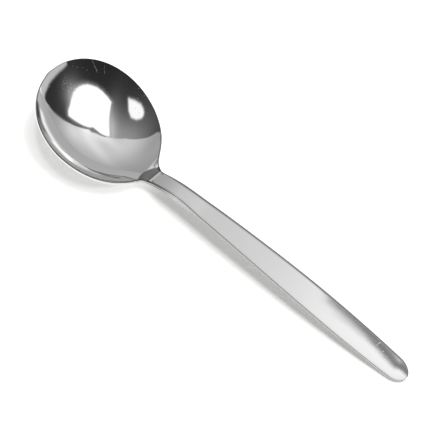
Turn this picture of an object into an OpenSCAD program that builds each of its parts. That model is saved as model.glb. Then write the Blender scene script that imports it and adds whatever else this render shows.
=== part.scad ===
// Soup spoon pressed from one sheet of stainless steel: a round bowl and a slim handle.
// Millimetres. The handle runs along +X, the bowl is at -X and opens towards +Z.
// The spoon lies on the plane Z = 0 on the underside of its bowl and of the handle's end.

/* [Whole spoon] */
// Length of the upper face, from the bowl's tip to the handle's end
spoon_l = 174.6; // [150:0.2:200]

/* [Bowl] */
// Length of the rim's ellipse along the spoon
bowl_l = 50.9; // [44:0.1:54]
// Width of the rim's ellipse across the spoon
bowl_w = 46.8; // [40:0.2:52]
// Depth of the hollow below the rim
bowl_depth = 11.1; // [9:0.1:13]
// How square the hollow's side wall is, two being a plain dish
bowl_power = 2.3; // [2:0.05:3]
// How much wider the front half of the rim is than the back half
bowl_front_share = 0.058; // [0:0.001:0.1]
// Angle at which the rim falls from the tip towards the neck, in degrees
rim_fall = 11; // [8:0.1:14]
// Height by which the rim swoops down to the neck at its back
rim_swoop = 2.3; // [1:0.1:3.5]
// Distance before the crease at which the swoop begins
swoop_from = 8.6; // [7:0.1:12]
// Distance before the crease at which the swoop ends
swoop_to = 1.1; // [0.5:0.1:3]
// Sheet thickness in the bowl
bowl_sheet = 1.03; // [0.8:0.01:1.4]

/* [Neck] */
// Distance from the bowl's tip to the crease where the hollow ends
neck_from_tip = 53.6; // [50:0.1:58]
// Width of the handle where it leaves the bowl
neck_w = 6.1; // [5:0.1:8]
// Radius of the hollow corner between the bowl's side and the handle
neck_fillet = 6.7; // [3:0.1:9]
// Sheet thickness at the neck
neck_sheet = 1.9; // [1.4:0.05:2.4]
// Slope of the small flat between the hollow's wall and the crease, as rise over run
flat_slope = 0.03; // [-0.1:0.01:0.2]
// Reach over which the hollow's wall turns into the flat
flat_bend = 0.25; // [0.1:0.05:1]
// Reach over which the rim's fall turns into the handle's rise
neck_bend = 0.6; // [0.3:0.1:2]

/* [Handle] */
// Greatest width of the handle
handle_w = 11.2; // [9:0.1:14]
// Height of the handle's edge above the table at the top of its arch
arch_h = 8.22; // [7.5:0.1:10]
// Depth of the slight dish along the handle's middle at the end
end_dish = 0.12; // [0:0.01:0.4]
// Sheet thickness at the handle's edge
handle_sheet = 1.15; // [0.9:0.05:1.6]
// Length of the rounded end of the handle
end_round = 5.65; // [4.5:0.05:8]

/* [Edges] */
// How far the cut edge bulges out, as a share of the sheet's thickness
edge_bulge_share = 0.3; // [0.1:0.05:0.5]
// How upright the cut edge of the rim stands, from square to the face to plumb
rim_upright_share = 0.7; // [0:0.05:1]

/* [Mesh] */
// Steps along the bowl
bowl_steps = 58; // [30:1:64]
// Steps along the handle
handle_steps = 58; // [30:1:64]
// Steps across the spoon
across_steps = 16; // [8:2:18]
// Steps around the cut edge
edge_steps = 4; // [2:1:4]

/* [Hidden] */
// Places along the handle where its width is given, as shares of its length
width_place_shares = [0, 0.08, 0.2, 0.4, 0.62, 0.82, 1];
// Handle widths at those places, as shares of the greatest width, after the neck's own
width_shares = [0.541, 0.691, 0.88, 1, 0.964, 0.779];
// Places along the handle where its height is given, as shares of its length
height_place_shares = [0, 0.08, 0.2, 0.4, 0.6, 0.8, 1];
// Edge heights at those places, as shares of the arch's height, after the neck's own
height_shares = [1, 0.989, 0.872, 0.679, 0.411];
// Part of the handle over which the sheet thins from the neck's gauge
thinning_share = 0.33;
// Steel's colour in the plain view
steel = [0.72, 0.72, 0.73];
// Distance between the two points that measure a slope
slope_gap = 0.4;
// Half width of the flat cut at each end, where the mesh closes on one point
end_half_w = 0.5;
// Rounds of halving that find the neck's tangent point
halvings = 40;
// Half of the rim's length and width
rim_a = bowl_l / 2;
rim_b = bowl_w / 2;
// Distance around the crease over which the cut edge turns from upright to square
upright_reach = 6;

// The slope of a smooth curve at its point k
function mid_slope(p, q, k) =
    let (d0 = (q[k] - q[k-1]) / (p[k] - p[k-1]), d1 = (q[k+1] - q[k]) / (p[k+1] - p[k]))
    (d0 * (p[k+1] - p[k]) + d1 * (p[k] - p[k-1])) / (p[k+1] - p[k-1]);
function end_slope(p, q, k, m) = 1.5 * (q[k+1] - q[k]) / (p[k+1] - p[k]) - 0.5 * m;
function slope_at(p, q, k) =
    k == 0 ? end_slope(p, q, 0, mid_slope(p, q, 1)) :
    k == len(p) - 1 ? end_slope(p, q, k - 1, mid_slope(p, q, k - 1)) :
    mid_slope(p, q, k);

// A smooth curve through the points (p, q), straight before the first of them
function smooth_curve(p, q, x) =
    let (
        xc = max(x, p[0]),
        k = max([for (i = [0 : len(p) - 2]) if (i == 0 || xc > p[i]) i]),
        h = p[k+1] - p[k],
        t = (xc - p[k]) / h,
        m0 = slope_at(p, q, k),
        m1 = slope_at(p, q, k + 1)
    )
    min(x - p[0], 0) * m0
        + (2*t*t*t - 3*t*t + 1) * q[k] + (t*t*t - 2*t*t + t) * h * m0
        + (3*t*t - 2*t*t*t) * q[k+1] + (t*t*t - t*t) * h * m1;

// The point on the rim's ellipse where the neck's fillet touches, by halving an angle
function fillet_reach(m) =
    let (n = [cos(m) / rim_a, sin(m) / rim_b])
    [rim_a * cos(m), rim_b * sin(m)] + neck_fillet * n / norm(n);
fillet_y = neck_w / 2 + neck_fillet;
function touch_angle(lo, hi, rounds) =
    let (m = (lo + hi) / 2)
    rounds == 0 ? m :
    fillet_reach(m).y > fillet_y ? touch_angle(lo, m, rounds - 1) : touch_angle(m, hi, rounds - 1);
fillet_angle = touch_angle(0, 90, halvings);
fillet_from = rim_a + rim_a * cos(fillet_angle);
fillet_to = rim_a + fillet_reach(fillet_angle).x;

// Half width of the upper face at x
width_places = [for (s = width_place_shares) fillet_to + s * (spoon_l - fillet_to)];
half_widths = concat([neck_w / 2], [for (s = width_shares) s * handle_w / 2]);
function end_part(x) = min(max((x - spoon_l + end_round) / end_round, 0), 1);
function bowl_half_w(x) =
    let (u = min(max((x - rim_a) / rim_a, -1), 1))
    rim_b * sqrt(1 - u * u) * (1 - bowl_front_share * u);
function half_w(x) =
    x < fillet_from ? bowl_half_w(x) :
    x < fillet_to ? fillet_y - sqrt(max(neck_fillet^2 - (x - fillet_to)^2, 0)) :
    smooth_curve(width_places, half_widths, x) * sqrt(max(1 - end_part(x)^2, 0));

// Height of the edge at x, before the spoon is set down on its bowl
function eased(t) = let (s = min(max(t, 0), 1)) s * s * (3 - 2 * s);
function rim_h(x, neck_h) =
    neck_h + (neck_from_tip - x) * tan(rim_fall)
        + rim_swoop * (1 - eased((x - neck_from_tip + swoop_from) / (swoop_from - swoop_to)));
height_places = [for (s = height_place_shares) neck_from_tip + s * (spoon_l - neck_from_tip)];
function edge_h(x, neck_h) =
    let (
        hs = concat([neck_h], [for (s = height_shares) s * arch_h], [handle_sheet]),
        a = rim_h(x, neck_h),
        b = smooth_curve(height_places, hs, x),
        k = max(1 - abs(a - b) / neck_bend, 0)
    )
    max(a, b) + k * k * neck_bend / 4;

// Depth along the middle behind the deepest place: the wall, then the flat up to the crease
function middle_depth(x, u) =
    let (
        wall = (neck_from_tip - x) * tan(rim_fall) + rim_swoop - bowl_depth * (1 - pow(u, bowl_power)),
        flat = (x - neck_from_tip) * flat_slope,
        k = max(1 - abs(wall - flat) / flat_bend, 0)
    )
    rim_h(x, 0) - min(wall, flat) + k * k * flat_bend / 4;

// Depth of the hollow at x and at the share v of the half width
function reach_power(u, v) = pow(1 - (1 - u * u) * (1 - v * v), bowl_power / 2);
function hollow(x, v) =
    x < rim_a ? bowl_depth * (1 - reach_power(min((rim_a - x) / rim_a, 1), v)) :
    x >= neck_from_tip - slope_gap / 100 ? 0 :
    let (u = (x - rim_a) / (neck_from_tip - rim_a))
    middle_depth(x, u) * (1 - reach_power(u, v)) / (1 - pow(u, bowl_power));
// Depth of the handle's dished top below its edges
function dish(x, v) =
    let (s = min(max((x - neck_from_tip) / (spoon_l - neck_from_tip), 0), 1))
    end_dish * s * s * (1 - end_part(x)^2) * (1 - v * v);

// Sheet thickness at x and v: the handle's underside is flat below its dish
function bowl_to_neck(x) = eased((x - rim_a) / (neck_from_tip - rim_a));
function sheet(x, v) =
    bowl_sheet + (neck_sheet - bowl_sheet) * bowl_to_neck(x)
        + (handle_sheet - neck_sheet)
            * min(max((x - neck_from_tip) / (spoon_l - neck_from_tip) / thinning_share, 0), 1)
        - dish(x, v);

// Height of the neck's crease that sets the bowl's underside on the plane Z = 0
lowest_places = [for (k = [1 : bowl_steps]) k * neck_from_tip / (bowl_steps + 1)];
neck_h = -min([for (x = lowest_places) rim_h(x, 0) - hollow(x, 0) - sheet(x, 0)]);

// A point of the upper face, v running from -1 to 1 across the spoon
function face_h(x, v) = edge_h(x, neck_h) - hollow(x, v) - dish(x, v);
function top_point(x, v) = [x, v * half_w(x), face_h(x, v)];
function unit(a) = a / norm(a);
// Upward direction square to the upper face, measured a little inside both ends
function height(x, y) = face_h(x, y / half_w(x));
function face_dir(x, v) =
    let (
        y = v * half_w(x),
        xs = min(max(x, first_x + 2 * slope_gap), last_x - 2 * slope_gap),
        dx = height(xs + slope_gap, y) - height(xs - slope_gap, y),
        dy = height(xs, y + slope_gap) - height(xs, y - slope_gap)
    )
    unit([-dx, -dy, 2 * slope_gap]);
// Direction through the sheet, which turns plumb towards the rim's cut edge
function through_dir(x, v) =
    let (
        n = face_dir(x, v),
        k = 1 - rim_upright_share * v^6 * min(max((neck_from_tip - x) / upright_reach + 1 / 2, 0), 1)
    )
    unit([n.x * k, n.y * k, n.z]);
// Outward direction along the upper face at the edge on the side s
function out_dir(x, s) =
    let (
        gap = slope_gap / 10,
        run = top_point(min(x + gap, last_x), s) - top_point(max(x - gap, first_x), s)
    )
    s * unit(cross(through_dir(x, s), run));

// A point of the cut edge, turning by the angle a from the upper face to the underside
function edge_point(x, s, a) =
    top_point(x, s) - through_dir(x, s) * sheet(x, s) * (1 - cos(a)) / 2
        + out_dir(x, s) * sheet(x, s) * edge_bulge_share * sin(a);

// One closed ring of the sheet at x: over the top, round the edge, back below
function ring(x) = concat(
    [for (j = [0 : across_steps]) top_point(x, 2 * j / across_steps - 1)],
    [for (k = [1 : edge_steps - 1]) edge_point(x, 1, 180 * k / edge_steps)],
    [for (j = [across_steps : -1 : 0])
        let (v = 2 * j / across_steps - 1)
        top_point(x, v) - through_dir(x, v) * sheet(x, v)],
    [for (k = [edge_steps - 1 : -1 : 1]) edge_point(x, -1, 180 * k / edge_steps)]
);

// Places of the rings: close together at both ends, where the outline turns
first_x = rim_a * (1 - sqrt(1 - (end_half_w / rim_b)^2));
last_x = spoon_l - end_round * (1 - sqrt(1 - (2 * end_half_w / (handle_w * width_shares[5]))^2));
ring_places = concat(
    [for (k = [0 : bowl_steps]) first_x + (neck_from_tip - first_x) * (1 - cos(180 * k / bowl_steps)) / 2],
    [for (k = [1 : handle_steps])
        neck_from_tip + (last_x - neck_from_tip) * (1 - cos(180 * k / handle_steps)) / 2]
);
ring_count = len(ring_places);
ring_size = 2 * (across_steps + 1) + 2 * (edge_steps - 1);
rings = [for (x = ring_places) each ring(x)];

// The two points that close the ends, s being -1 at the bowl's tip and 1 at the tail
function end_point(x, s) =
    top_point(x, 0) - face_dir(x, 0) * sheet(x, 1) / 2
        + s * cross([0, 1, 0], face_dir(x, 0)) * sheet(x, 1) * edge_bulge_share;
tip_point = end_point(first_x, -1);
tail_point = end_point(last_x, 1);

function next_in_ring(j) = (j + 1) % ring_size;
skin = [
    for (i = [0 : ring_count - 2]) for (j = [0 : ring_size - 1])
        let (
            a = i * ring_size + j,
            b = i * ring_size + next_in_ring(j),
            c = a + ring_size,
            d = b + ring_size
        )
        each [[a, b, c], [b, d, c]]
];
tip_index = ring_count * ring_size;
tip_cap = [for (j = [0 : ring_size - 1]) [tip_index, next_in_ring(j), j]];
tail_start = (ring_count - 1) * ring_size;
tail_cap = [for (j = [0 : ring_size - 1]) [tip_index + 1, tail_start + j, tail_start + next_in_ring(j)]];

// Move that puts the origin under the middle of the spoon's box
all_points = concat(rings, [tip_point, tail_point]);
low_x = min([for (p = all_points) p.x]);
high_x = max([for (p = all_points) p.x]);
low_z = min([for (p = all_points) p.z]);
to_frame = [-(low_x + high_x) / 2, 0, -low_z];

// The whole spoon: one sheet, blanked, rolled thin at the bowl, pressed and bent
module spoon() {
    color(steel)
        translate(to_frame)
            polyhedron(
                points = all_points,
                faces = concat(skin, tip_cap, tail_cap),
                convexity = 4
            );
}

spoon();
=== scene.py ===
# %% [markdown]
# # A pressed steel soup spoon
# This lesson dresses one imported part, a round-bowled soup spoon. The real spoon is blanked from a
# sheet of stainless steel, rolled thin where the bowl will be, pressed to shape and polished. It is
# one piece, so the model is one mesh. What makes it look like steel is the smoothness of that mesh,
# the finish on it, and the room that it mirrors.

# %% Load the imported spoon
import math

import bpy
import numpy as np
from mathutils import Matrix, Vector


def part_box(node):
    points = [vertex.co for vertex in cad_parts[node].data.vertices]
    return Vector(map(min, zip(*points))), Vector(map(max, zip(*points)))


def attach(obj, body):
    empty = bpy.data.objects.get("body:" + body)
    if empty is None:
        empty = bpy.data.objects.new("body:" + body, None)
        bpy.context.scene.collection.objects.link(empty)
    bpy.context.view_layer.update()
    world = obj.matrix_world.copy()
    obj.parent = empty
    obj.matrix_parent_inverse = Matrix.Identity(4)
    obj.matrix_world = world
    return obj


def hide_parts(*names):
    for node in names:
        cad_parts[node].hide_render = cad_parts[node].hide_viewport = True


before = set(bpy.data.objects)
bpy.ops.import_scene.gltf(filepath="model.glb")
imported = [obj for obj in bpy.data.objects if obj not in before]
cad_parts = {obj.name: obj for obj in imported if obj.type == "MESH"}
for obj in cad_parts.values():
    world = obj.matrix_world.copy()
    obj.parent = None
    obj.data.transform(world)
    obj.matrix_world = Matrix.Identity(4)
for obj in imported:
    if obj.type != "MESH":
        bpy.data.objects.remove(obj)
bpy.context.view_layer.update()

# %% [markdown]
# ## The sizes of the real spoon
# All sizes are in millimetres, as on a drawing. The first distance along the spoon is at the bowl's
# tip, and the last is at the handle's end. They are the sizes that the part was built with, so the
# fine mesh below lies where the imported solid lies. The length is a usual one for such a spoon, and
# many of the others were found by calculation, by matching the outline to the photo's.

# %% Sizes in millimetres
MM = 0.001
SPOON_L = 174.6
RIM_A = 50.9 / 2
RIM_B = 46.8 / 2
BOWL_DEPTH = 11.1
BOWL_POWER = 2.3
FRONT_SHARE = 0.058
RIM_FALL = math.tan(math.radians(11))
RIM_SWOOP = 2.3
SWOOP_FROM = 8.6
SWOOP_TO = 1.1
FLAT_SLOPE = 0.03
FLAT_BEND = 0.25
BOWL_SHEET = 1.03
CREASE = 53.6
NECK_W = 6.1
FILLET_R = 6.7
NECK_SHEET = 1.9
NECK_BEND = 0.6
HANDLE_W = 11.2
ARCH_H = 8.22
END_DISH = 0.12
HANDLE_SHEET = 1.15
THINNING = 0.33
END_ROUND = 5.65
EDGE_BULGE = 0.3

# %% [markdown]
# ## The camera
# The spoon is seen from above and from one side, with the handle falling away to the lower right.
# The camera is a long lens at arm's length. It looks down at 57 degrees, and it is rolled by about
# 32 degrees, which is what turns a spoon that lies along X into one that lies across the picture.

# %% Camera
AIM = Vector((-1.472, 0.0, 6.0)) * MM
DISTANCE = 0.65
FOCAL_PX = 1732.0
PICTURE_PX = 440.0
SENSOR = 36.0
turn, tilt, roll = (math.radians(a) for a in (6.3, 57.0, 32.15))
back = Vector((math.sin(turn) * math.cos(tilt), -math.cos(turn) * math.cos(tilt), math.sin(tilt)))
level = Vector((math.cos(turn), math.sin(turn), 0.0))
rise = back.cross(level)
picture_x = math.cos(roll) * level + math.sin(roll) * rise
picture_y = -math.sin(roll) * level + math.cos(roll) * rise

camera = bpy.data.objects.new("camera", bpy.data.cameras.new("camera"))
bpy.context.collection.objects.link(camera)
camera.matrix_world = Matrix((picture_x, picture_y, back)).transposed().to_4x4()
camera.location = AIM + back * DISTANCE
camera.data.sensor_width = SENSOR
camera.data.lens = FOCAL_PX / PICTURE_PX * SENSOR
camera.data.shift_x = -0.005
camera.data.shift_y = 0.0159
camera.data.clip_start = 0.01
camera.data.clip_end = 20.0
bpy.context.scene.camera = camera
print("lens in mm", round(camera.data.lens, 1))

# %% [markdown]
# ## The outline from above
# The rim is nearly an ellipse, a little wider at the front. A small hollow corner joins it to the
# neck, and from there a smooth curve through a few widths draws the slim handle, which ends in a
# half round. A smooth curve through a few points is what a draughtsman draws with a bent lath.


# %% A smooth curve through a few points
def lath(places, values, x):
    """The height at x of a smooth curve through the points, straight before the first one."""
    p = np.asarray(places, float)
    q = np.asarray(values, float)
    gap = np.diff(p)
    rise_of = np.diff(q) / gap
    slope = np.empty_like(q)
    slope[1:-1] = (rise_of[:-1] * gap[1:] + rise_of[1:] * gap[:-1]) / (gap[1:] + gap[:-1])
    slope[0] = 1.5 * rise_of[0] - 0.5 * slope[1]
    slope[-1] = 1.5 * rise_of[-1] - 0.5 * slope[-2]
    inside = np.maximum(x, p[0])
    k = np.clip(np.searchsorted(p, inside) - 1, 0, len(p) - 2)
    h = gap[k]
    t = (inside - p[k]) / h
    curve = (2 * t**3 - 3 * t**2 + 1) * q[k] + (t**3 - 2 * t**2 + t) * h * slope[k]
    curve = curve + (3 * t**2 - 2 * t**3) * q[k + 1] + (t**3 - t**2) * h * slope[k + 1]
    return curve + np.minimum(x - p[0], 0) * slope[0]


print("between 0 and 1 the curve passes", round(float(lath([0, 1, 2], [0, 1, 0], 0.5)), 3))

# %% Where the hollow corner touches the rim and the handle
def corner_centre(angle):
    """Centre of the corner's circle when it touches the rim at this angle from the spoon's line."""
    square = np.array([math.cos(angle) / RIM_A, math.sin(angle) / RIM_B])
    on_rim = np.array([RIM_A * math.cos(angle), RIM_B * math.sin(angle)])
    return on_rim + FILLET_R * square / np.hypot(*square)


CORNER_Y = NECK_W / 2 + FILLET_R
low_angle, high_angle = 0.0, math.pi / 2
for _ in range(40):
    angle = (low_angle + high_angle) / 2
    if corner_centre(angle)[1] > CORNER_Y:
        high_angle = angle
    else:
        low_angle = angle
CORNER_FROM = RIM_A + RIM_A * math.cos(angle)
CORNER_TO = RIM_A + corner_centre(angle)[0]
print("hollow corner from", round(CORNER_FROM, 2), "to", round(CORNER_TO, 2))

# %% Half width at each place along the spoon
# These shares of the greatest width come from matching the outline by calculation.
WIDTH_PLACES = CORNER_TO + np.array([0, 0.08, 0.2, 0.4, 0.62, 0.82, 1]) * (SPOON_L - CORNER_TO)
HALF_WIDTHS = np.array([NECK_W / HANDLE_W, 0.541, 0.691, 0.88, 1, 0.964, 0.779]) * HANDLE_W / 2


def end_part(x):
    """From 0 where the handle's rounded end begins to 1 at its last point."""
    return np.clip((x - SPOON_L + END_ROUND) / END_ROUND, 0, 1)


def half_w(x):
    """Half the width at each place: the rim, then the hollow corner, then the handle."""
    u = np.clip((x - RIM_A) / RIM_A, -1, 1)
    rim = RIM_B * np.sqrt(1 - u * u) * (1 - FRONT_SHARE * u)
    corner = CORNER_Y - np.sqrt(np.maximum(FILLET_R**2 - (x - CORNER_TO) ** 2, 0))
    handle = lath(WIDTH_PLACES, HALF_WIDTHS, x) * np.sqrt(np.maximum(1 - end_part(x) ** 2, 0))
    return np.where(x < CORNER_FROM, rim, np.where(x < CORNER_TO, corner, handle))


print("half width in the middle of the bowl", round(float(half_w(RIM_A)), 2))

# %% [markdown]
# ## The heights
# Seen from the side, the rim falls in a straight line from the tip to the neck, and the handle
# rises from there in a long low arch and comes down to the table. The hollow is a dish whose wall
# is a little steeper than a ball's. The handle's top is nearly flat, with a faint dish at its end.


# %% Height of the edge
def eased(t):
    """A soft step from 0 to 1."""
    s = np.clip(t, 0, 1)
    return s * s * (3 - 2 * s)


def rim_h(x, neck_h):
    """Height of the rim, which falls in a straight line and swoops down before the crease."""
    swooped = eased((x - CREASE + SWOOP_FROM) / (SWOOP_FROM - SWOOP_TO))
    return neck_h + (CREASE - x) * RIM_FALL + RIM_SWOOP * (1 - swooped)


# These shares of the arch's height come from the same calculation.
HEIGHT_PLACES = CREASE + np.array([0, 0.08, 0.2, 0.4, 0.6, 0.8, 1]) * (SPOON_L - CREASE)
HANDLE_HEIGHTS = np.array([1, 0.989, 0.872, 0.679, 0.411]) * ARCH_H


def edge_h(x, neck_h):
    """Height of the whole edge. The rim meets the handle's arch in a small rounded bend."""
    handle = lath(HEIGHT_PLACES, [neck_h, *HANDLE_HEIGHTS, HANDLE_SHEET], x)
    rim = rim_h(x, neck_h)
    near = np.maximum(1 - np.abs(rim - handle) / NECK_BEND, 0)
    return np.maximum(rim, handle) + near * near * NECK_BEND / 4


print("the tip stands above the neck by", round(float(rim_h(0.0, 0.0)), 2))

# %% Depth of the hollow, dish of the handle and gauge of the sheet
def hollow(x, y):
    """Depth below the rim. It is written in x and y, so that it is smooth at the tip as well."""
    front = (x - RIM_A) / RIM_A
    across = y / (RIM_B * (1 - FRONT_SHARE * front))
    in_front = front * front + across * across
    front_depth = BOWL_DEPTH * (1 - np.power(np.maximum(in_front, 0), BOWL_POWER / 2))
    behind = np.clip((x - RIM_A) / (CREASE - RIM_A), 0, 0.9999)
    v = y / np.maximum(half_w(x), 0.1)
    reach = 1 - (1 - behind**2) * (1 - v * v)
    share_here = (1 - np.power(np.maximum(reach, 0), BOWL_POWER / 2)) / (1 - behind**BOWL_POWER)
    return np.where(x < RIM_A, front_depth, middle_depth(x, behind) * share_here)


def middle_depth(x, behind):
    """Depth along the spoon's middle: the bowl's wall runs up to a small flat before the crease."""
    wall = (CREASE - x) * RIM_FALL + RIM_SWOOP - BOWL_DEPTH * (1 - behind**BOWL_POWER)
    flat = (x - CREASE) * FLAT_SLOPE
    near = np.maximum(1 - np.abs(wall - flat) / FLAT_BEND, 0)
    floor_h = np.minimum(wall, flat) - near * near * FLAT_BEND / 4
    return np.where(x < CREASE, rim_h(x, 0.0) - floor_h, 0.0)


def along_handle(x):
    """From 0 at the crease to 1 at the handle's end."""
    return np.clip((x - CREASE) / (SPOON_L - CREASE), 0, 1)


def dish(x, y):
    """How far the top of the handle is hollowed towards its end."""
    v = y / np.maximum(half_w(x), 0.1)
    return END_DISH * along_handle(x) ** 2 * (1 - end_part(x) ** 2) * (1 - v * v)


def sheet(x, y):
    """Thickness of the metal, which is rolled thin in the bowl and thickest at the neck."""
    gauge = BOWL_SHEET + (NECK_SHEET - BOWL_SHEET) * eased((x - RIM_A) / (CREASE - RIM_A))
    thinned = (HANDLE_SHEET - NECK_SHEET) * np.minimum(along_handle(x) / THINNING, 1)
    return gauge + thinned - dish(x, y)


print("depth in the middle of the bowl", round(float(hollow(RIM_A, 0.0)), 2))
print("sheet there", round(float(sheet(RIM_A, 0.0)), 2))

# %% The upper face, set down on the table
bowl_line = np.linspace(0.5, CREASE - 0.5, 400)
on_middle = np.zeros_like(bowl_line)
lowest = rim_h(bowl_line, 0) - hollow(bowl_line, on_middle) - sheet(bowl_line, on_middle)
NECK_H = -lowest.min()


def face_h(x, y):
    """Height of the upper face above the table."""
    return edge_h(x, NECK_H) - hollow(x, y) - dish(x, y)


print("height of the crease above the table in mm", round(NECK_H, 3))

# %% [markdown]
# ## One skin for the whole spoon
# A mirror shows every unevenness, so the mesh is laid out in rings that follow the shape: across the
# upper face, round the cut edge, back along the underside and round the other edge. The rings stand
# close together at both ends and at the crease of the neck, where the shape turns quickly. The
# upper face gets its shading directions from the formula rather than from the facets, and then the
# reflections in the bowl run as smoothly as in polished steel.

# %% Places of the rings and of the points across them
BOWL_RINGS = 200
HANDLE_RINGS = 200
ACROSS = 96
EDGE_STEPS = 14
END_HALF_W = 0.5
UPRIGHT_SHARE = 0.7
UPRIGHT_FADE = 6.0
GAP = 0.02
half_end_w = HALF_WIDTHS[-1]
FIRST_X = RIM_A * (1 - math.sqrt(1 - (END_HALF_W / RIM_B) ** 2))
LAST_X = SPOON_L - END_ROUND * (1 - math.sqrt(1 - (END_HALF_W / half_end_w) ** 2))


def spread(low, high, count):
    """Places that stand closer together towards both ends."""
    return low + (high - low) * (1 - np.cos(np.pi * np.arange(count + 1) / count)) / 2


bowl_places = spread(FIRST_X, CREASE - GAP, BOWL_RINGS)
handle_places = spread(CREASE + GAP, LAST_X, HANDLE_RINGS)
ring_x = np.concatenate([bowl_places, handle_places])
share_across = np.linspace(-1, 1, ACROSS + 1)
print("rings", len(ring_x))


# %% Points and upward directions of the upper face
def face_points(x, v):
    """Points of the upper face, where v runs from -1 at the near edge to 1 at the far edge."""
    y = v * half_w(x)
    return np.stack([x, y, face_h(x, y)], -1)


def face_dirs(x, y, step=0.01):
    """Directions square to the upper face. A ring measures on its own side of the crease."""
    own_low = np.where(x > CREASE, CREASE + step / 2, -1.0)
    own_high = np.where(x > CREASE, SPOON_L - 0.02, CREASE - step / 2)
    ahead = np.minimum(x + step, own_high)
    behind = np.maximum(x - step, own_low)
    slope_x = (face_h(ahead, y) - face_h(behind, y)) / (ahead - behind)
    slope_y = (face_h(x, y + step) - face_h(x, y - step)) / (2 * step)
    out = np.stack([-slope_x, -slope_y, np.ones_like(slope_x)], -1)
    return out / np.linalg.norm(out, axis=-1, keepdims=True)


x_grid, v_grid = np.meshgrid(ring_x, share_across, indexing="ij")
upper = face_points(x_grid, v_grid)
up = face_dirs(upper[..., 0], upper[..., 1])
gauge = sheet(upper[..., 0], upper[..., 1])
CREASE_SLANT = 0.13
CREASE_REACH = 3.0
upper[..., 0] += CREASE_SLANT * upper[..., 1] * np.exp(-(((x_grid - CREASE) / CREASE_REACH) ** 2))
in_bowl = np.clip((CREASE + UPRIGHT_FADE / 2 - x_grid) / UPRIGHT_FADE, 0, 1)
upright = 1 - UPRIGHT_SHARE * v_grid**6 * in_bowl
through = up * np.stack([upright, upright, np.ones_like(upright)], -1)
through /= np.linalg.norm(through, axis=-1, keepdims=True)
under = upper - through * gauge[..., None]
print("steepest place in degrees", round(math.degrees(math.acos(up[..., 2].min())), 1))

# %% The cut edge, rounded by tumbling
EDGE_SQUARE = 2.6


def edge_line(side):
    """Points round the edge on one side, from the upper face to the underside."""
    j = -1 if side > 0 else 0
    start = upper[:, j]
    run = np.gradient(start, axis=0)
    away = np.cross(through[:, j], run) * side
    away /= np.linalg.norm(away, axis=-1, keepdims=True)
    thick = gauge[:, j][:, None]
    turns = np.pi * np.arange(1, EDGE_STEPS) / EDGE_STEPS
    rows = []
    for a in turns:
        down = (1 - np.sign(math.cos(a)) * abs(math.cos(a)) ** (2 / EDGE_SQUARE)) / 2
        out = EDGE_BULGE * math.sin(a) ** (2 / EDGE_SQUARE)
        rows.append(start - through[:, j] * thick * down + away * thick * out)
    return np.stack(rows, 1)


far_edge = edge_line(1)
near_edge = edge_line(-1)
rings = np.concatenate([upper, far_edge, under[:, ::-1], near_edge[:, ::-1]], 1)
RING = rings.shape[1]
print("points in a ring", RING)

# %% Close both ends and list the faces
middle = ACROSS // 2


def end_point(i, way):
    """The point that closes the skin at the tip or at the handle's end."""
    half = up[i, middle] * gauge[i, 0] / 2
    out = np.cross([0, 1, 0], up[i, middle]) * gauge[i, 0] * EDGE_BULGE
    return upper[i, middle] - half + way * out


count = len(ring_x)
points = np.concatenate([rings.reshape(-1, 3), [end_point(0, -1), end_point(-1, 1)]])
tip_index = count * RING
faces = []
for i in range(count - 1):
    for j in range(RING):
        k = (j + 1) % RING
        faces.append((i * RING + j, (i + 1) * RING + j, (i + 1) * RING + k, i * RING + k))
for j in range(RING):
    k = (j + 1) % RING
    faces.append((tip_index, j, k))
    faces.append((tip_index + 1, (count - 1) * RING + k, (count - 1) * RING + j))
print("points", len(points), "faces", len(faces))

# %% [markdown]
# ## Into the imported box
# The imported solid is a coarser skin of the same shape. The fine skin is laid in the middle of the
# solid's box, set down on the same table, and made smaller by a hair, so that it never stands proud
# of the solid. The mesh then takes the solid's place in the picture and rides on the same body.

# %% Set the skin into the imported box
A_HAIR_LESS = 0.9998
OFF_TABLE = 1e-6
low, high = points.min(0), points.max(0)
node_low, node_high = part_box("spoon")
node_low, node_high = np.array(node_low), np.array(node_high)
room_in_box = (node_high - node_low) / ((high - low) * MM)
shrink = float(min(room_in_box.min(), 1.0)) * A_HAIR_LESS
centre = np.array([(low[0] + high[0]) / 2, (low[1] + high[1]) / 2, low[2]])
rest_on = np.array([(node_low[0] + node_high[0]) / 2, (node_low[1] + node_high[1]) / 2, node_low[2]])
placed = (points - centre) * MM * shrink + rest_on + np.array([0, 0, OFF_TABLE])
print("shrink", round(shrink, 5))

# %% Make the mesh
mesh = bpy.data.meshes.new("spoon_polished")
mesh.from_pydata(placed.tolist(), [], faces)
mesh.update()
directions = np.zeros((len(points), 3))
face_rows = np.arange(count)[:, None] * RING + np.arange(ACROSS + 1)[None]
directions[face_rows.ravel()] = up.reshape(-1, 3)
mesh.polygons.foreach_set("use_smooth", [True] * len(mesh.polygons))
mesh.normals_split_custom_set_from_vertices(directions.tolist())
spoon = bpy.data.objects.new("spoon_polished", mesh)
bpy.context.collection.objects.link(spoon)
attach(spoon, "root")
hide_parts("spoon")
print("spoon mesh", len(mesh.vertices), "points", len(mesh.polygons), "faces")

# %% [markdown]
# ## Marks of the press, and painted shade
# The small flat before the crease was squeezed between the dies after polishing, so it is duller
# than the bowl, and its colour is darkened as painted shade. The cut edge was only tumbled, so its
# corners are a little rough, and their colour is darkened as painted shade too, as are two small
# spots at the ends of the crease. These marks follow the shape, so they are written on the mesh as
# values from 0 to 1, which the finish reads. Painting them with an image would need a file and would
# not stay sharp.


# %% The flat that the press left, and two spots of painted shade beside it
FLAT_FROM = 50.0
FLAT_SLANT = 0.38
FLAT_CURVE = 0.055
FLAT_SOFT = 0.25
PAINTED_DARK_SPOTS = ((54.44, -2.5), (55.3, 2.6))
DARK_SPOT_R = 0.35


# On this flat the steel is rougher, and its colour is darkened as painted shade.
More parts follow.
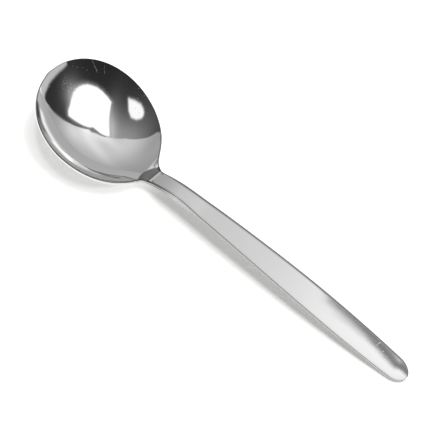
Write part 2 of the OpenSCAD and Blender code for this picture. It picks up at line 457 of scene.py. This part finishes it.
def pressed(x, y):
    """1 on the pressed flat, which ends in a curve towards the bowl and at the slanted crease."""
    flat_from = FLAT_FROM + FLAT_SLANT * y + FLAT_CURVE * y**2
    flat_to = CREASE + CREASE_SLANT * y
    return eased((x - flat_from) / FLAT_SOFT + 0.5) * eased((flat_to - x) / FLAT_SOFT + 0.5)


def painted_dark_spot_share(x, y):
    """1 in the middle of each small spot of painted shade at the ends of the crease."""
    share = np.zeros_like(x)
    for dark_spot_x, dark_spot_y in PAINTED_DARK_SPOTS:
        share = np.maximum(share, np.exp(-((x - dark_spot_x) ** 2 + (y - dark_spot_y) ** 2) / DARK_SPOT_R**2))
    return share


print("painted_dark_spots", len(PAINTED_DARK_SPOTS))

# %% Where the dull corners and their painted shade are wide and strong
CORNER_W = 0.35
CORNER_AT = 52.5
CORNER_LONG = 2.2
FADE_LONG = 12.0
FAR_LEAST = 0.35
on_handle = eased((x_grid - CREASE) / FADE_LONG)
by_corner = np.exp(-(((x_grid - CORNER_AT) / CORNER_LONG) ** 2))
far_side = v_grid > 0
corner_reach = CORNER_W + 0.4 * on_handle + np.where(far_side, 0.9 * by_corner + 0.45 * on_handle, 0.0)
far_strength = FAR_LEAST + (1 - FAR_LEAST) * np.maximum(on_handle, by_corner)
near_strength = 1.0 - 0.8 * on_handle
print("dull corner at most", round(float(corner_reach.max()), 2), "mm wide")

# %% The dull corners of the cut edge, with painted shade
BRIGHT_MIDDLE = 2.4
CORNER_STEEP = 7
to_edge = (1 - np.abs(v_grid)) * half_w(x_grid)
# Along the cut edge this mask makes the steel rougher and also darkens its colour: painted shade at the
# edge's corners.
upper_edge_shade = eased(1 - to_edge / corner_reach) * np.where(far_side, far_strength, near_strength)
edge_turn = np.arange(1, EDGE_STEPS) / EDGE_STEPS
middle_light = eased((CREASE + FADE_LONG / 2 - ring_x) / FADE_LONG)[:, None]
cut_edge_shade = 1 - middle_light * eased(BRIGHT_MIDDLE - np.abs(edge_turn - 0.5) * CORNER_STEEP)[None]
no_corner = np.zeros_like(upper_edge_shade)
near_edge_shade = cut_edge_shade * (1 - 0.7 * on_handle[:, :1])
edge_rough_and_shade_rings = np.concatenate([upper_edge_shade, cut_edge_shade, no_corner, near_edge_shade[:, ::-1]], 1)
print("values round each ring", edge_rough_and_shade_rings.shape[1])

# %% Write the marks on the mesh
pressed_flat_shade_rings = np.zeros_like(edge_rough_and_shade_rings)
pressed_flat_shade_rings[:, : ACROSS + 1] = pressed(upper[..., 0], upper[..., 1])
dark_spot_rings = np.zeros_like(edge_rough_and_shade_rings)
dark_spot_rings[:, : ACROSS + 1] = painted_dark_spot_share(upper[..., 0], upper[..., 1])
marks = (("dull_edge_and_painted_shade", edge_rough_and_shade_rings), ("pressed_flat_and_painted_shade", pressed_flat_shade_rings), ("painted_dark_spots", dark_spot_rings))
for mark_name, values in marks:
    layer = mesh.attributes.new(mark_name, "FLOAT", "POINT")
    layer.data.foreach_set("value", np.append(values.ravel(), [0.0, 0.0]).astype(np.float32))
    print(mark_name, "covers", int((values > 0.5).sum()), "points")

# %% [markdown]
# ## Polished steel
# Stainless steel is a metal, so its colour is the colour of its reflection: a plain light grey.
# It could be one smooth material, but a real spoon is never that clean. Buffing leaves the surface
# faintly wavy, with fine lines along the handle. Use adds hair scratches and tiny pits, which catch
# light where the steel mirrors something dark. All of this changes how rough the surface is, and
# hardly its colour.


# %% A small helper for node materials
def node(tree, kind, **settings):
    """Add a node to a material and set its choices."""
    made = tree.nodes.new(kind)
    for key, value in settings.items():
        setattr(made, key, value)
    return made


def linked(tree, start, end):
    """Join the output of one node to the input of another."""
    tree.links.new(start, end)


def calc(tree, operation, *inputs):
    """A Math node. Every input is a number or the output of another node."""
    made = node(tree, "ShaderNodeMath", operation=operation)
    for socket, value in zip(made.inputs, inputs):
        if isinstance(value, (int, float)):
            socket.default_value = value
        else:
            linked(tree, value, socket)
    return made.outputs[0]


def ramp(tree, value, low, high):
    """Turn a value into a soft mask that is 0 up to low and 1 from high."""
    made = node(tree, "ShaderNodeMapRange", interpolation_type="SMOOTHSTEP")
    linked(tree, value, made.inputs["Value"])
    made.inputs["From Min"].default_value = low
    made.inputs["From Max"].default_value = high
    return made.outputs["Result"]


# %% Places on a thing in millimetres, and who sees its light
def places_in_mm(tree):
    """The place of each point of a thing, from the middle of the spoon's box on the table."""
    coords = node(tree, "ShaderNodeTexCoord")
    in_mm = node(tree, "ShaderNodeVectorMath", operation="SCALE")
    in_mm.inputs["Scale"].default_value = 1 / MM
    linked(tree, coords.outputs["Object"], in_mm.inputs[0])
    return in_mm.outputs[0]


def seen_light(tree):
    """1 for what the camera and the steel see, and 0 for light that falls on a thing."""
    path = node(tree, "ShaderNodeLightPath")
    seen = calc(tree, "MAXIMUM", path.outputs["Is Camera Ray"], path.outputs["Is Glossy Ray"])
    return calc(tree, "MAXIMUM", seen, path.outputs["Is Transmission Ray"])


steel = bpy.data.materials.new("polished_steel")
steel.use_nodes = True
tree = steel.node_tree
shader = tree.nodes["Principled BSDF"]
shader.inputs["Metallic"].default_value = 1.0
mesh.materials.append(steel)
place = places_in_mm(tree)
print("material", steel.name)


# %% Grain: noise that is drawn out
def grain(tree, stretch, turned=0.0, detail=2.0):
    """Noise whose cells are drawn out. The stretch is in cells per millimetre."""
    mapping = node(tree, "ShaderNodeMapping")
    mapping.inputs["Rotation"].default_value = (0, 0, math.radians(turned))
    mapping.inputs["Scale"].default_value = stretch
    linked(tree, place, mapping.inputs["Vector"])
    noise = node(tree, "ShaderNodeTexNoise")
    noise.inputs["Scale"].default_value = 1.0
    noise.inputs["Detail"].default_value = detail
    linked(tree, mapping.outputs[0], noise.inputs["Vector"])
    return noise.outputs["Fac"]


# %% [markdown]
# ## What buffing and use leave on the steel
# A buffing wheel leaves a faint waviness, and along the handle very fine lines. Later come hair
# scratches from washing up, a few longer scratches and some tiny pits. They could be drawn on an
# image, but noise that is drawn out in one direction makes them at any size. Each mark is a mask
# from 0 to 1 that says where the surface is changed.

# %% Buffing: a faint waviness, and fine lines along the handle
CLOUDS = (0.25, 0.25, 0.25)
BUFFING = (0.12, 5.0, 5.0)
PAST_NECK = (-36.0, -30.0)
cloudy = grain(tree, CLOUDS)
buffed = grain(tree, BUFFING, detail=3.0)
steel_parts = node(tree, "ShaderNodeSeparateXYZ")
linked(tree, place, steel_parts.inputs[0])
past_neck = ramp(tree, steel_parts.outputs["X"], *PAST_NECK)
buff_lines = calc(tree, "MULTIPLY", buffed, past_neck)
print("nodes for the buffing", len(tree.nodes))

# %% Hair scratches and pits
# A kind of hair scratch is (cells per millimetre, turned by, level of the noise where it starts).
HAIR_KINDS = (((0.1, 7.0, 0.5), 28, 0.7), ((0.09, 8.0, 0.5), -47, 0.71))
HAIR_SOFT = 0.06
hair_scratches = calc(tree, "MAXIMUM", *(
    ramp(tree, grain(tree, cells, turned=turned), starts, starts + HAIR_SOFT)
    for cells, turned, starts in HAIR_KINDS
))
PITS_PER_MM = 0.7
pits = node(tree, "ShaderNodeTexVoronoi")
pits.inputs["Scale"].default_value = PITS_PER_MM
linked(tree, place, pits.inputs["Vector"])
pit_dots = ramp(tree, pits.outputs["Distance"], 0.16, 0.08)
pitted_areas = ramp(tree, grain(tree, (0.12, 0.12, 0.12)), 0.5, 0.6)
pitted = calc(tree, "MULTIPLY", pit_dots, pitted_areas)
print("nodes with the scratches and pits", len(tree.nodes))


# %% Longer scratches, each from one place to another
def scratch(tree, start, end, half_width):
    """A thin straight mark between two places on the steel, given as (x, y) in millimetres."""
    a, b = np.array(start), np.array(end)
    long = float(np.hypot(*(b - a)))
    mapping = node(tree, "ShaderNodeMapping", vector_type="TEXTURE")
    mapping.inputs["Location"].default_value = (*((a + b) / 2), 0)
    mapping.inputs["Rotation"].default_value = (0, 0, math.atan2(b[1] - a[1], b[0] - a[0]))
    linked(tree, place, mapping.inputs["Vector"])
    parts = node(tree, "ShaderNodeSeparateXYZ")
    linked(tree, mapping.outputs[0], parts.inputs[0])
    across = calc(tree, "ABSOLUTE", parts.outputs["Y"])
    along = calc(tree, "ABSOLUTE", parts.outputs["X"])
    line = ramp(tree, across, half_width * 1.6, half_width * 0.4)
    return calc(tree, "MULTIPLY", line, ramp(tree, along, long / 2, long / 2 * 0.7))


# Each is (start, end, half width). The places were picked in the photo and turned into millimetres.
LONG_SCRATCHES = [
    ((-80.6, 17.6), (-74.6, 16.6), 0.15),
    ((-75.4, 20.6), (-72.6, 18.1), 0.15),
    ((71.4, 3.3), (72.1, 4.3), 0.12),
    ((20.0, -1.5), (31.0, 0.4), 0.05),
    ((48.0, 1.8), (57.0, 0.6), 0.05),
]
HAIR_STRENGTH = 0.35
scratched = calc(tree, "MULTIPLY", hair_scratches, HAIR_STRENGTH)
for start, end, half_width in LONG_SCRATCHES:
    scratched = calc(tree, "MAXIMUM", scratched, scratch(tree, start, end, half_width))
print("long scratches", len(LONG_SCRATCHES))

# %% A patch of fine pits in the far wall of the bowl
FINE_PITS_PER_MM = 1.5
fine_pits = node(tree, "ShaderNodeTexVoronoi")
fine_pits.inputs["Scale"].default_value = FINE_PITS_PER_MM
linked(tree, place, fine_pits.inputs["Vector"])
worn_patch = scratch(tree, (-83.2, 3.2), (-75.6, 6.2), 2.3)
fine_dots = calc(tree, "MULTIPLY", ramp(tree, fine_pits.outputs["Distance"], 0.4, 0.2), worn_patch)
pitted = calc(tree, "MAXIMUM", pitted, fine_dots)
print("fine pits in a millimetre", FINE_PITS_PER_MM)

# %% [markdown]
# ## Roughness, colour and relief
# Roughness decides how sharply the steel mirrors. Nearly everywhere it is close to 0, and every mark
# adds a little. The colour of a metal is the share of light that it gives back. Only painted shade
# lowers it here: on the pressed flat, along the corners of the cut edge and in two spots at the crease.
# The relief bends the reflection by less than the eye could see as height, which is why it is a bump
# and not a change of the mesh.


# %% Put the marks together: first the roughness
def mark(tree, name):
    """A value that was written on the mesh."""
    made = node(tree, "ShaderNodeAttribute", attribute_name=name)
    return made.outputs["Fac"]


pressed_flat_and_painted_shade, dull_edge_and_painted_shade, painted_dark_spots = (mark(tree, name) for name in ("pressed_flat_and_painted_shade", "dull_edge_and_painted_shade", "painted_dark_spots"))
LITTLE = 0.02
SCRATCH_ROUGH = 0.3
PRESS_ROUGH = 0.28
CORNER_ROUGH = 0.2
SMOOTH = 0.025
rough = calc(tree, "MULTIPLY_ADD", cloudy, LITTLE, SMOOTH)
rough = calc(tree, "MULTIPLY_ADD", buff_lines, LITTLE, rough)
rough = calc(tree, "MULTIPLY_ADD", scratched, SCRATCH_ROUGH, rough)
rough = calc(tree, "MULTIPLY_ADD", pitted, SCRATCH_ROUGH, rough)
rough = calc(tree, "MULTIPLY_ADD", pressed_flat_and_painted_shade, PRESS_ROUGH, rough)
rough = calc(tree, "MULTIPLY_ADD", dull_edge_and_painted_shade, CORNER_ROUGH, rough)
linked(tree, rough, shader.inputs["Roughness"])
print("roughness from", SMOOTH)

# %% Then the colour, a grey that painted shade makes darker
STEEL_SHARE = 0.69
# The three masks darken the grey: this is painted shade, not a colour of the steel.
DARKER = ((pressed_flat_and_painted_shade, 0.74), (dull_edge_and_painted_shade, 0.78), (painted_dark_spots, 0.7))
shade = 1.0
for shade_mask, loss in DARKER:
    shade = calc(tree, "MULTIPLY", shade, calc(tree, "MULTIPLY_ADD", shade_mask, -loss, 1.0))
tint = node(tree, "ShaderNodeVectorMath", operation="SCALE")
tint.inputs[0].default_value = (STEEL_SHARE, STEEL_SHARE, STEEL_SHARE)
linked(tree, shade, tint.inputs["Scale"])
linked(tree, tint.outputs[0], shader.inputs["Base Color"])
print("light that clean steel gives back", STEEL_SHARE)

# %% Last the relief, a few thousandths of a millimetre
WAVE_H = 0.003 * MM
LINE_H = 0.0002 * MM
wavy = node(tree, "ShaderNodeBump")
wavy.inputs["Strength"].default_value = 1.0
wavy.inputs["Distance"].default_value = WAVE_H
linked(tree, cloudy, wavy.inputs["Height"])
lined = node(tree, "ShaderNodeBump")
lined.inputs["Strength"].default_value = 1.0
lined.inputs["Distance"].default_value = LINE_H
linked(tree, calc(tree, "SUBTRACT", buff_lines, scratched), lined.inputs["Height"])
linked(tree, wavy.outputs[0], lined.inputs["Normal"])
linked(tree, lined.outputs[0], shader.inputs["Normal"])
print("nodes in the steel", len(tree.nodes))

# %% [markdown]
# ## The table
# The spoon lies on a sheet of white paper. A large white plane would do, but a mirror close to it
# shows how plain it is, so the paper has faint fibres in its colour and its relief. The sheet is only
# as large as the shadow needs, and beyond it the white of the surroundings goes on without a seam.

# %% The sheet of paper
REACH = 0.16
paper_corners = [(-REACH, -REACH, 0), (REACH, -REACH, 0), (REACH, REACH, 0), (-REACH, REACH, 0)]
table = bpy.data.meshes.new("table")
table.from_pydata(paper_corners, [], [(0, 1, 2, 3)])
floor = bpy.data.objects.new("table", table)
bpy.context.collection.objects.link(floor)
print("paper", 2 * REACH, "m wide")

# %% The finish of the paper
paper = bpy.data.materials.new("white_paper")
paper.use_nodes = True
tree = paper.node_tree
tree.nodes.clear()
place = places_in_mm(tree)
diffuse = node(tree, "ShaderNodeBsdfDiffuse")
PAPER = (0.82, 0.82, 0.8)
FIBRES = (1.5, 1.5, 1.5)
FIBRE_SHARE = 0.03
FIBRE_H = 0.05 * MM
FIBRE_STRENGTH = 0.3
fibres = grain(tree, FIBRES, detail=4.0)
paper_tint = node(tree, "ShaderNodeVectorMath", operation="SCALE")
paper_tint.inputs[0].default_value = PAPER
fibre_tint = calc(tree, "MULTIPLY_ADD", fibres, FIBRE_SHARE, 1 - FIBRE_SHARE / 2)
linked(tree, fibre_tint, paper_tint.inputs["Scale"])
linked(tree, paper_tint.outputs[0], diffuse.inputs["Color"])
relief = node(tree, "ShaderNodeBump")
relief.inputs["Strength"].default_value = FIBRE_STRENGTH
relief.inputs["Distance"].default_value = FIBRE_H
linked(tree, fibres, relief.inputs["Height"])
linked(tree, relief.outputs[0], diffuse.inputs["Normal"])
print("material", paper.name)

# %% [markdown]
# ## A shadow that stays pale
# In a bright studio the shadow of a spoon is a pale grey, because light comes back from everywhere.
# More lamps would flatten the steel as well. So the paper adds a little light of its own that only
# the camera and the steel see, and the shadow keeps its shape. It adds more from the neck to the
# tip, where light reaches in under the neck and the bowl, and less right under the bowl.

# %% The light that the paper adds
LIFT = 0.25
NECK_LIFT = 0.34
BOWL_LIFT = -0.18
UNDER_BOWL = (-62.0, 0.0, 0.0)
NECK_RAMP = (-26.0, -40.0)
BOWL_RAMP = (23.0, 20.4)
seen = seen_light(tree)
paper_parts = node(tree, "ShaderNodeSeparateXYZ")
linked(tree, place, paper_parts.inputs[0])
by_neck = ramp(tree, paper_parts.outputs["X"], *NECK_RAMP)
from_bowl = node(tree, "ShaderNodeVectorMath", operation="DISTANCE")
from_bowl.inputs[1].default_value = UNDER_BOWL
linked(tree, place, from_bowl.inputs[0])
by_bowl = ramp(tree, from_bowl.outputs["Value"], *BOWL_RAMP)
print("nodes in the paper", len(tree.nodes))

# %% Add that light to the paper
strength = calc(tree, "MULTIPLY_ADD", by_neck, NECK_LIFT, LIFT)
strength = calc(tree, "MULTIPLY_ADD", by_bowl, BOWL_LIFT, strength)
strength = calc(tree, "MULTIPLY", seen, strength)
lift = node(tree, "ShaderNodeEmission")
linked(tree, strength, lift.inputs["Strength"])
both = node(tree, "ShaderNodeAddShader")
linked(tree, diffuse.outputs[0], both.inputs[0])
linked(tree, lift.outputs[0], both.inputs[1])
result = node(tree, "ShaderNodeOutputMaterial")
linked(tree, both.outputs[0], result.inputs["Surface"])
table.materials.append(paper)
print("light added to the paper", LIFT, "and beside the neck", round(LIFT + NECK_LIFT, 2))

# %% [markdown]
# ## The white background
# The background is white for the camera and for the steel, at a strength of 1. For the light that
# falls on the spoon and the paper it is much weaker, or the shadow would be filled in. The Light Path
# node tells the two apart.

# %% The world
world = bpy.data.worlds.new("studio")
bpy.context.scene.world = world
world.use_nodes = True
tree = world.node_tree
tree.nodes.clear()
FILL = 0.2
seen = seen_light(tree)
pick = node(tree, "ShaderNodeMixShader")
linked(tree, seen, pick.inputs[0])
for place_in_mix, strength in ((1, FILL), (2, 1.0)):
    background = node(tree, "ShaderNodeBackground")
    background.inputs["Color"].default_value = (1, 1, 1, 1)
    background.inputs["Strength"].default_value = strength
    linked(tree, background.outputs[0], pick.inputs[place_in_mix])
result = node(tree, "ShaderNodeOutputWorld")
linked(tree, pick.outputs[0], result.inputs["Surface"])
print("light that falls on the spoon from all round", FILL)

# %% [markdown]
# ## The lamp
# One large square lamp hangs a little behind the spoon, nearly overhead. Its size makes the shadow
# soft, and its place throws the shadow towards the camera. Steel would show the lamp as a plain
# square, so it is hidden from the steel, and the softboxes that the steel does show are drawn in the
# room below.


# %% Directions round the spoon
def direction(azimuth, zenith):
    """A unit vector. Azimuth turns from +X towards +Y, and zenith is the angle from straight up."""
    a, z = math.radians(azimuth), math.radians(zenith)
    return Vector((math.sin(z) * math.cos(a), math.sin(z) * math.sin(a), math.cos(z)))


print("30 degrees from straight up, along the handle", [round(c, 3) for c in direction(0, 30)])

# %% The lamp that casts the shadow
lamp_data = bpy.data.lights.new("key", "AREA")
lamp_data.shape = "RECTANGLE"
LAMP_W = 0.7
LAMP_FAR = 1.2
LAMP_WATTS = 14.2
lamp_data.size = LAMP_W
lamp_data.size_y = LAMP_W
lamp_data.energy = LAMP_WATTS
key = bpy.data.objects.new("key", lamp_data)
bpy.context.collection.objects.link(key)
toward = direction(azimuth=80, zenith=12)
key.location = toward * LAMP_FAR
key.rotation_mode = "QUATERNION"
key.rotation_quaternion = toward.to_track_quat("Z", "Y")
key.visible_glossy = False
print("lamp", LAMP_W, "m wide at", LAMP_FAR, "m")

# %% [markdown]
# ## The room that the steel mirrors
# A mirror looks like what stands round it. Here a tent of white cloth closes the far side, the near
# side is a dark room, and two white softboxes hang overhead. They could be real boxes and sheets, but
# then each reflection would have to be aimed by moving them. Instead a wide dome carries a chart of
# the room, as a star chart carries the sky. Every glow and patch on it lies at (east, north), in
# degrees away from straight up. East is +X, along the handle, and north is +Y. Levels run from 0,
# black, to 255, white.
#
# Each spot of the steel mirrors one spot of the room. So the corners were picked in the photo
# and turned into directions by calculation, and then many were moved. The glows weren't
# chosen by hand: a calculation matched them to how bright the steel is in the photo, and only the
# second glow of the tent was changed afterwards. Round numbers set by eye would be easier to follow.

# %% The tent and the dark room
# A glow is (level added, east, north, reach one way, reach the other way, turned by).
TENT_LEVEL = 150
TENT_GLOWS = [(110, 81, -6, 8, 76, 58), (76, 16, 24.5, 8, 19, 102), (54, 24, 50, 17, 21, 5),
              (51, -18, 6, 80, 25, 74)]
DARK_LEVEL = 38
DARK_GLOWS = [(110, 51, 21, 15, 18, 12), (106, -15, 3, 60, 37, 49), (110, 6, 23, 43, 11, 101)]
TENT_EDGE = [
    (62, 90), (51, 73), (42, 66.5), (32, 52), (20.6, 38.2), (17.2, 35.0), (14.9, 32.2),
    (13.6, 31.6), (12.7, 31.9), (11.6, 31.9), (10.4, 30.9), (9.3, 29.6), (7.9, 28.2),
    (5.8, 26.3), (3.8, 24.1), (0.4, 19.5), (-16, 0.4), (-38, -17), (-54, -27), (-63, -31.5),
]
DARK_ROOM = TENT_EDGE + [(-76, -30), (-110, -40), (-60, -110), (60, -120), (130, -40), (130, 60)]
SEAM = [(20.6, 38.5), (32, 52), (42, 66)]
NEAR_SEAM = [(5.8, 26.6), (9.3, 30.2), (11.8, 31.9), (14.4, 31.8)]
print("corners of the tent's edge", len(TENT_EDGE))

# %% The two softboxes, and a grey band low down
BIG_BOX = [
    (55, 19), (56, 13), (55.4, 6), (54, 0), (51, -7), (46.5, -12.5), (41, -18), (33.5, -21.8),
    (25, -23.6), (17.9, -23.7), (0.3, 16.8), (2.8, 20.9), (5, 23.2), (8, 25.4), (10.6, 25.9),
    (14.1, 26.1), (15.2, 29), (17.6, 31.4), (25.5, 36.6), (38, 45.2), (42.5, 41), (46.5, 33.6),
    (51.5, 26),
]
SMALL_BOX = [
    (0.5, -44.3), (-8, -47.6), (-18, -49), (-24, -47), (-27, -44.5), (-28, -41.5), (-26.5, -38),
    (-20.5, -33), (-12.8, -30.3), (-6.6, -34.2),
]
LOW_BAND = [
    (44, 74), (49.3, 74.5), (53.3, 73.8), (57.7, 68.8), (61.8, 62), (65.6, 55), (68.5, 47.4),
    (70.8, 39.3), (72.5, 31.2), (73.4, 23), (74.4, 15.3), (120, 12), (120, 90), (70, 110),
]
print("corners of the big box", len(BIG_BOX), "and of the small box", len(SMALL_BOX))

# %% [markdown]
# ## What steel shows of steel
# Light that leaves the bowl's near wall has often met the far wall first. By then it comes from a
# part of the room that the first chart can't see, so light that met the steel twice or three times
# reads a chart of its own. These two charts draw the bright ring inside the near rim.

# %% The charts for later reflections
# A patch is (level, softness, width, corners). A width makes it a line through the corners.
SECOND_LEVEL = 166
SECOND_ROOM = [
    (180, 12, 0, [(60, -10), (40, -6), (40, 16), (36, 30), (24, 46), (8, 56), (20, 70), (60, 40)]),
    (140, 12, 0, [(60, 30), (46, 42), (36, 58), (26, 70), (16, 80), (4, 84), (-10, 80), (-22, 68),
                  (-30, 58), (-38, 52), (-50, 50), (-90, 70), (-60, 140), (60, 140), (90, 60)]),
    (208, 12, 4, [(42, 22), (38, 33), (31, 42), (24, 51), (15, 60), (6, 66)]),
    (248, 6, 4.5, [(43, 20), (41, 30), (34, 44.5), (25.5, 55), (16.5, 63.5), (8, 68.5), (0, 70)]),
    (190, 6, 3, [(0, 70), (-7, 70), (-14, 70)]),
    (60, 5, 5, [(49, 14), (46, 32), (43.5, 45)]),
    (105, 5, 5, [(43.5, 45), (34.5, 58), (32, 62)]),
    (76, 5, 4, [(-10, 64), (-20, 54), (-29, 47.5), (-37, 45), (-46, 46)]),
]
THIRD_LEVEL = 140
THIRD_ROOM = [
    (178, 9, 6, [(23, 23), (18, 29), (14, 31), (8, 32), (2, 32), (-4, 32), (-12, 32)]),
    (250, 4, 5, [(20, 24), (17, 26.5), (14, 28.5), (11, 29.5), (8, 30.5), (3, 30.5)]),
    (200, 3, 3, [(3, 30.5), (-1, 31), (-5, 31)]),
    (84, 3.5, 4, [(-5, 27), (-9, 27), (-15, 25), (-25, 25), (-30, 30)]),
]
RIM_LEVEL = 128
print("patches in the later charts", len(SECOND_ROOM), "and", len(THIRD_ROOM))


# %% How to draw glows
def placed_glows(base, glows, spots):
    """A plain level with soft round glows added to it."""
    level = np.full(spots.shape[:-1], float(base))
    for added, east, north, reach_a, reach_b, turned in glows:
        away = spots - (east, north)
        c, s = math.cos(math.radians(turned)), math.sin(math.radians(turned))
        one_way = (away[..., 0] * c + away[..., 1] * s) / reach_a
        other_way = (away[..., 1] * c - away[..., 0] * s) / reach_b
        level += added * np.exp(-(one_way**2 + other_way**2))
    return level


straight_up = placed_glows(TENT_LEVEL, TENT_GLOWS, np.zeros(2))
print("straight up, the tent's level is", round(float(straight_up)))

# %% How far a spot is from a line or an outline
def line_distance(path, spots):
    """How far each spot lies from an open line."""
    closest = np.full(spots.shape[:-1], 1e9)
    for p, q in zip(np.array(path[:-1], float), np.array(path[1:], float)):
        d = q - p
        t = np.clip(((spots - p) @ d) / (d @ d), 0, 1)
        closest = np.minimum(closest, np.linalg.norm(spots - p - t[..., None] * d, axis=-1))
    return closest


def signed_distance(corners, spots):
    """How far each spot lies inside (positive) or outside (negative) a closed outline."""
    closed = np.array([*corners, corners[0]], float)
    closest = line_distance(closed, spots)
    inside = np.zeros(spots.shape[:-1], bool)
    for p, q in zip(closed[:-1], closed[1:]):
        d = q - p
        crosses = (p[1] > spots[..., 1]) != (q[1] > spots[..., 1])
        safe = d[1] if abs(d[1]) > 1e-9 else 1e-9
        inside ^= crosses & (spots[..., 0] < p[0] + d[0] * (spots[..., 1] - p[1]) / safe)
    return np.where(inside, closest, -closest)


in_big_box = float(signed_distance(BIG_BOX, np.array([[30.0, 5.0]]))[0])
print("a spot in the big box lies inside its outline by", round(in_big_box, 1), "degrees")

# %% How to lay one level over another
HAZE_LEVEL = 162


def linear(level):
    """The light that a picture shows as this level from 0 to 255."""
    c = level / 255
    return c / 12.92 if c <= 0.04045 else ((c + 0.055) / 1.055) ** 2.4


def laid_over(level, new, inside, soft):
    """Lay a new level over the room where inside is above 0, with a soft border."""
    t = np.clip(inside / soft + 0.5, 0, 1)
    t = t * t * (3 - 2 * t)
    return level * (1 - t) + new * t


def hazed(level, outline, reach, spots):
    """A pale haze round a softbox, as a fine film on the steel shows it."""
    t = np.clip(1 + signed_distance(outline, spots) / reach, 0, 1) ** 2
    return level + (HAZE_LEVEL - level) * t


print("level 128 is light of", round(linear(128), 3))

# %% The spots of the chart, one in each degree
DOME_TO = 98
azimuths = np.arange(0, 360, 1.0)
zeniths = np.arange(0.5, DOME_TO, 1.0)
a_grid, z_grid = np.meshgrid(azimuths, zeniths, indexing="ij")
spots = np.stack([z_grid * np.cos(np.radians(a_grid)), z_grid * np.sin(np.radians(a_grid))], -1)
print("spots", spots.shape[0] * spots.shape[1])

# %% Draw the first chart
BIG_HAZE, SMALL_HAZE = 6.5, 4.0
# A seam is (level, half width, line). What is laid over the room is (outline, level, softness).
# The big box is a little brighter than white.
SEAMS = ((92, 2.4, SEAM), (125, 6.0, NEAR_SEAM))
SEAM_SOFT = 2.0
LAID_OVER = ((BIG_BOX, 262, 2.2), (SMALL_BOX, 250, 3.5), (LOW_BAND, 187, 2.5))
TENT_SOFT = 1.4
first_room = placed_glows(TENT_LEVEL, TENT_GLOWS, spots)
dark_room = placed_glows(DARK_LEVEL, DARK_GLOWS, spots)
dark_room = hazed(hazed(dark_room, BIG_BOX, BIG_HAZE, spots), SMALL_BOX, SMALL_HAZE, spots)
for seam_level, half_width, seam in SEAMS:
    dark_room = laid_over(dark_room, seam_level, half_width - line_distance(seam, spots), SEAM_SOFT)
first_room = laid_over(first_room, dark_room, signed_distance(DARK_ROOM, spots), TENT_SOFT)
for outline, level, soft in LAID_OVER:
    first_room = laid_over(first_room, level, signed_distance(outline, spots), soft)
print("chart from level", round(float(first_room.min())), "to", round(float(first_room.max())))


# %% Draw the charts for later reflections
def drawn(base, patches, spots):
    """Lay patches and lines over a plain level, one after another."""
    room = np.full(spots.shape[:-1], float(base))
    for level, soft, width, corners in patches:
        if width:
            inside = width / 2 - line_distance(corners, spots)
        else:
            inside = signed_distance(corners, spots)
        room = laid_over(room, level, inside, soft)
    return room


print("patches to draw", len(SECOND_ROOM) + len(THIRD_ROOM))

# %% From levels to light
to_light = np.vectorize(linear)
glow_once = to_light(first_room) / STEEL_SHARE
glow_twice = to_light(drawn(SECOND_LEVEL, SECOND_ROOM, spots)) / STEEL_SHARE**2
glow_thrice = to_light(drawn(THIRD_LEVEL, THIRD_ROOM, spots)) / STEEL_SHARE**3
glow_rim = linear(RIM_LEVEL) / STEEL_SHARE**4
print("glow at the innermost rim", round(glow_rim, 2))

# %% The dome that carries the charts
ROOM_FAR = 2.5
vectors = np.stack([
    np.sin(np.radians(z_grid)) * np.cos(np.radians(a_grid)),
    np.sin(np.radians(z_grid)) * np.sin(np.radians(a_grid)),
    np.cos(np.radians(z_grid)),
], -1) * ROOM_FAR
rows, columns = a_grid.shape
room_faces = []
for i in range(rows):
    here, beside = i * columns, (i + 1) % rows * columns
    for j in range(columns - 1):
        room_faces.append((here + j, here + j + 1, beside + j + 1, beside + j))
room_faces.append([i * columns for i in range(rows)])
print("faces in the dome", len(room_faces))

# %% Write the glows on the dome
room_mesh = bpy.data.meshes.new("room")
room_mesh.from_pydata(vectors.reshape(-1, 3).tolist(), [], room_faces)
glows = (("glow_once", glow_once), ("glow_twice", glow_twice), ("glow_thrice", glow_thrice))
for layer_name, glow in glows:
    layer = room_mesh.attributes.new(layer_name, "FLOAT", "POINT")
    layer.data.foreach_set("value", glow.ravel().astype(np.float32))
    print(layer_name, "at most", round(float(glow.max()), 2))

# %% Show the dome to the steel only
room = bpy.data.objects.new("room", room_mesh)
bpy.context.collection.objects.link(room)
room.visible_camera = False
room.visible_diffuse = False
room.visible_shadow = False
room.visible_transmission = False
print("dome seen by the camera", room.visible_camera, "and by the steel", room.visible_glossy)

# %% The glow of the dome
# The dome is painted light: a glowing mesh, no lamp, whose glows are painted reflections for the steel.
room_glow_material = bpy.data.materials.new("painted_room_glow")
room_glow_material.use_nodes = True
room_glow_material.cycles.emission_sampling = "NONE"
tree = room_glow_material.node_tree
tree.nodes.clear()
path = node(tree, "ShaderNodeLightPath")
strength = mark(tree, "glow_once")
# Each pair is (ray depth above which the glow is read, glow).
later_glows = ((1.5, mark(tree, "glow_twice")), (2.5, mark(tree, "glow_thrice")), (3.5, glow_rim))
for depth, glow in later_glows:
    choose = node(tree, "ShaderNodeMix", data_type="FLOAT")
    linked(tree, calc(tree, "GREATER_THAN", path.outputs["Ray Depth"], depth), choose.inputs[0])
    linked(tree, strength, choose.inputs[2])
    if isinstance(glow, float):
        choose.inputs[3].default_value = glow
    else:
        linked(tree, glow, choose.inputs[3])
    strength = choose.outputs[0]
print("charts by how often light met the steel", 1 + len(later_glows))
light = node(tree, "ShaderNodeEmission")
linked(tree, strength, light.inputs["Strength"])
result = node(tree, "ShaderNodeOutputMaterial")
linked(tree, light.outputs[0], result.inputs["Surface"])
room_mesh.materials.append(room_glow_material)

# %% [markdown]
# ## Finish
# The Standard view shows every level as it was drawn.

# %% Show every level as it was drawn
bpy.context.scene.view_settings.view_transform = "Standard"
